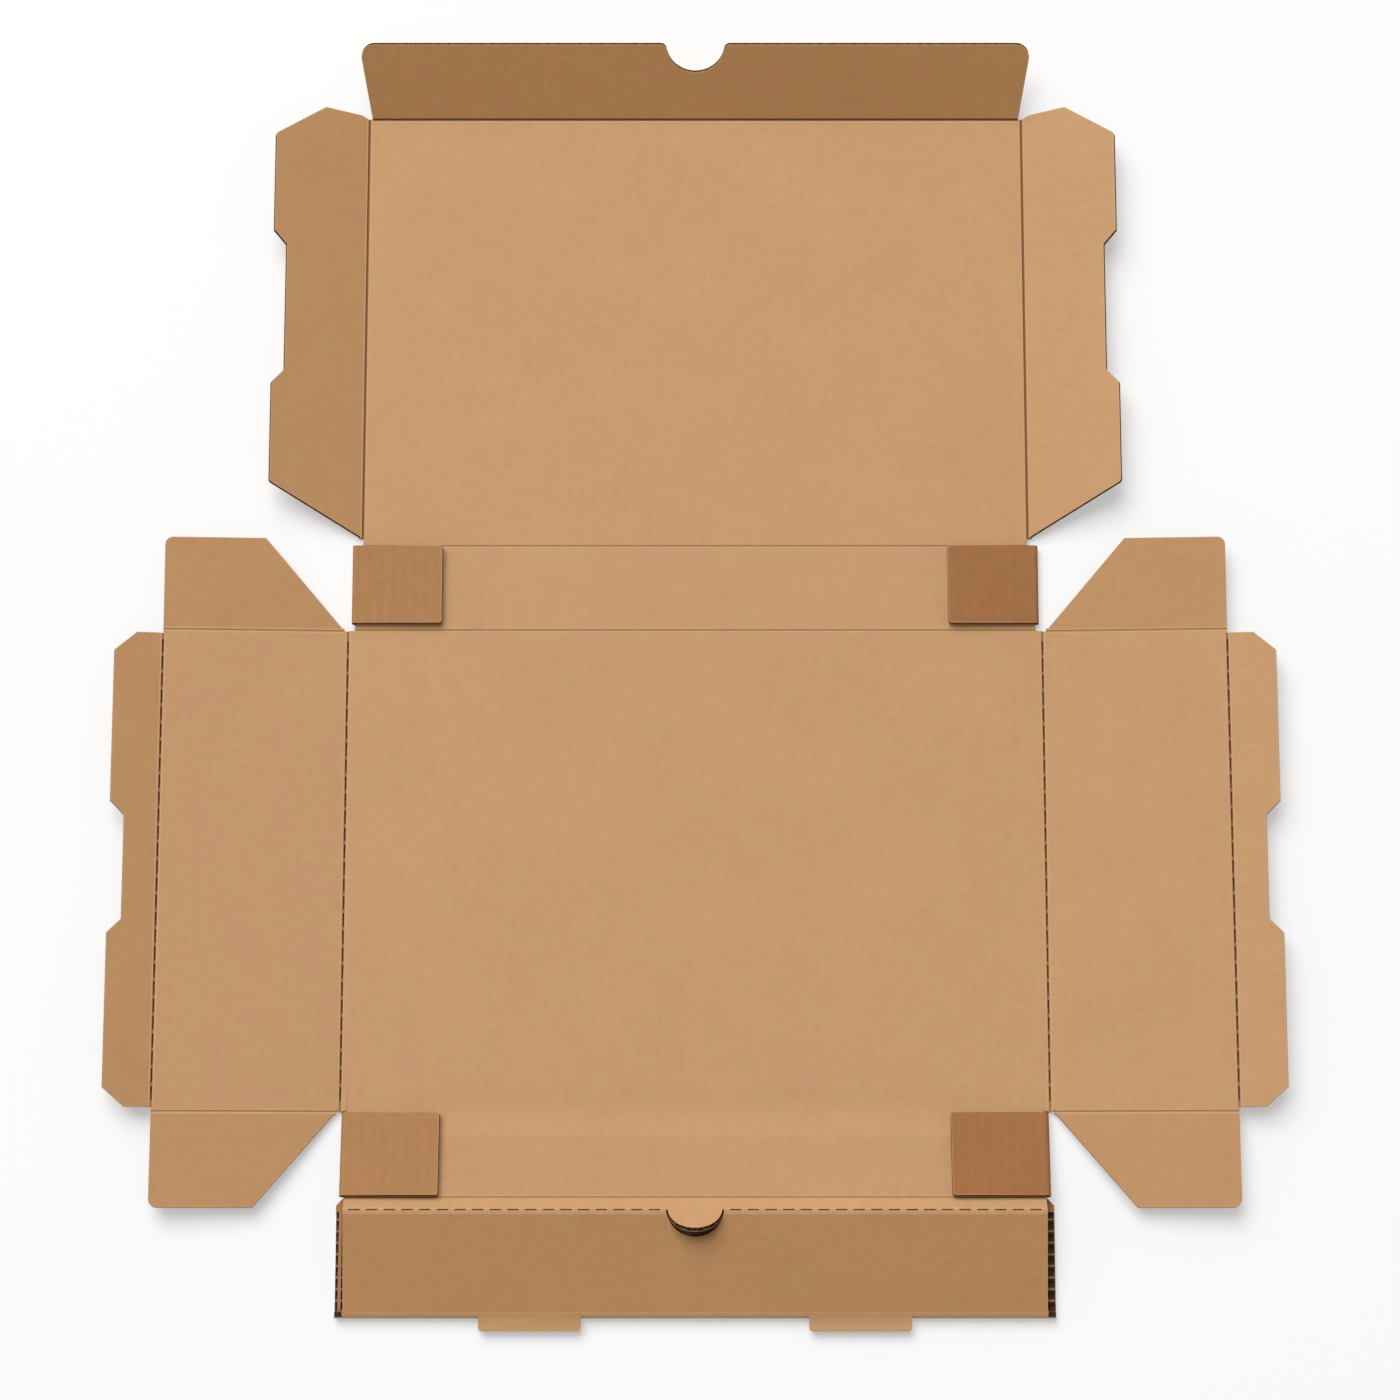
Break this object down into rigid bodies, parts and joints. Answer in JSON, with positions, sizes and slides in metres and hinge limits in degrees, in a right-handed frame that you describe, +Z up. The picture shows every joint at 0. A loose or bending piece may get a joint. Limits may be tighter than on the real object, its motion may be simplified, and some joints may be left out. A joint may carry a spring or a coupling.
{
  "type": "pizza box",
  "caption": "Plain kraft corrugated pizza box opened out flat, with a hinged lid, folding walls, corner tabs, ears, lock flaps and a roll-over front with a thumb disc.",
  "frame": {"origin": "under the middle of the base panel, on the table that the box lies on", "axes": "+Z up out of the inside of the box, +Y from the base towards the lid"},
  "size_m": [0.5828, 0.6497, 0.0304],
  "materials": {
    "kraft_board": "matte, plain inner liner",
    "outer_liner": "matte, darker outer liner with fine flute lines"
  },
  "bodies": {
    "base": {"base": "kraft_board"},
    "back_wall": {"back_wall": "kraft_board"},
    "lid": {"lid": "kraft_board"},
    "lid_front_flap": {"lid_front_flap": "kraft_board"},
    "front_wall": {"front_wall": "kraft_board"},
    "front_strip": {"front_strip": "kraft_board"},
    "front_panel": {"front_panel": "kraft_board"},
    "lid_left_flap": {"lid_left_flap": "kraft_board"},
    "lid_right_flap": {"lid_right_flap": "kraft_board"},
    "back_left_tab": {"back_left_tab": "outer_liner"},
    "back_right_tab": {"back_right_tab": "outer_liner"},
    "left_wall": {"left_wall": "kraft_board"},
    "right_wall": {"right_wall": "kraft_board"},
    "left_rear_ear": {"left_rear_ear": "kraft_board"},
    "right_rear_ear": {"right_rear_ear": "kraft_board"},
    "left_front_ear": {"left_front_ear": "kraft_board"},
    "right_front_ear": {"right_front_ear": "kraft_board"},
    "left_lock_flap": {"left_lock_flap": "kraft_board"},
    "right_lock_flap": {"right_lock_flap": "kraft_board"},
    "front_left_tab": {"front_left_tab": "outer_liner"},
    "front_right_tab": {"front_right_tab": "outer_liner"}
  },
  "joints": [
    {"name": "back_wall_fold", "type": "hinge", "parent": "base", "child": "back_wall", "pos_m": [0, 0.121, 0.003], "axis": [-1, 0, 0], "range_deg": [-90, 0]},
    {"name": "lid_fold", "type": "hinge", "parent": "back_wall", "child": "lid", "pos_m": [0, 0.1645, 0.003], "axis": [1, 0, 0], "range_deg": [0, 90]},
    {"name": "lid_front_flap_fold", "type": "hinge", "parent": "lid", "child": "lid_front_flap", "pos_m": [0, 0.39, 0.003], "axis": [-1, 0, 0], "range_deg": [-48, 42]},
    {"name": "front_wall_fold", "type": "hinge", "parent": "base", "child": "front_wall", "pos_m": [0, -0.121, 0.003], "axis": [1, 0, 0], "range_deg": [-81, 0]},
    {"name": "front_strip_fold", "type": "hinge", "parent": "front_wall", "child": "front_strip", "pos_m": [0, -0.16248, 0.00957], "axis": [1, 0, 0], "range_deg": [-54, 0]},
    {"name": "front_panel_fold", "type": "hinge", "parent": "front_strip", "child": "front_panel", "pos_m": [0, -0.16856, 0.01565], "axis": [1, 0, 0], "range_deg": [-96, 0]},
    {"name": "lid_left_flap_fold", "type": "hinge", "parent": "lid", "child": "lid_left_flap", "pos_m": [-0.1684, 0.27725, 0.003], "axis": [0, 1, 0], "range_deg": [-18, 72]},
    {"name": "back_left_tab_fold", "type": "hinge", "parent": "back_wall", "child": "back_left_tab", "pos_m": [-0.1717, 0.14275, 0.003], "axis": [0, -1, 0], "range_deg": [-1, 88.5]},
    {"name": "left_wall_fold", "type": "hinge", "parent": "base", "child": "left_wall", "pos_m": [-0.175, 0, 0.003], "axis": [0, 1, 0], "range_deg": [-4, 86]},
    {"name": "left_rear_ear_fold", "type": "hinge", "parent": "left_wall", "child": "left_rear_ear", "pos_m": [-0.22114, 0.1205, 0.00623], "axis": [-0.9976, 0, 0.0698], "range_deg": [-87, 3]},
    {"name": "left_front_ear_fold", "type": "hinge", "parent": "left_wall", "child": "left_front_ear", "pos_m": [-0.22114, -0.1205, 0.00623], "axis": [0.9976, 0, -0.0698], "range_deg": [-87, 3]},
    {"name": "left_lock_flap_fold", "type": "hinge", "parent": "left_wall", "child": "left_lock_flap", "pos_m": [-0.26727, 0, 0.00945], "axis": [0, 1, 0], "range_deg": [-8, 82]},
    {"name": "front_left_tab_fold", "type": "hinge", "parent": "front_wall", "child": "front_left_tab", "pos_m": [-0.1717, -0.14174, 0.00628], "axis": [0, -0.9877, 0.1564], "range_deg": [-1, 88.5]},
    {"name": "lid_right_flap_fold", "type": "hinge", "parent": "lid", "child": "lid_right_flap", "pos_m": [0.1684, 0.27725, 0.003], "axis": [0, -1, 0], "range_deg": [-18, 72]},
    {"name": "back_right_tab_fold", "type": "hinge", "parent": "back_wall", "child": "back_right_tab", "pos_m": [0.1717, 0.14275, 0.003], "axis": [0, 1, 0], "range_deg": [-1, 88.5]},
    {"name": "right_wall_fold", "type": "hinge", "parent": "base", "child": "right_wall", "pos_m": [0.175, 0, 0.003], "axis": [0, -1, 0], "range_deg": [-4, 86]},
    {"name": "right_rear_ear_fold", "type": "hinge", "parent": "right_wall", "child": "right_rear_ear", "pos_m": [0.22114, 0.1205, 0.00623], "axis": [-0.9976, 0, -0.0698], "range_deg": [-87, 3]},
    {"name": "right_front_ear_fold", "type": "hinge", "parent": "right_wall", "child": "right_front_ear", "pos_m": [0.22114, -0.1205, 0.00623], "axis": [0.9976, 0, 0.0698], "range_deg": [-87, 3]},
    {"name": "right_lock_flap_fold", "type": "hinge", "parent": "right_wall", "child": "right_lock_flap", "pos_m": [0.26727, 0, 0.00945], "axis": [0, -1, 0], "range_deg": [-8, 82]},
    {"name": "front_right_tab_fold", "type": "hinge", "parent": "front_wall", "child": "front_right_tab", "pos_m": [0.1717, -0.14174, 0.00628], "axis": [0, 0.9877, -0.1564], "range_deg": [-1, 88.5]}
  ]
}
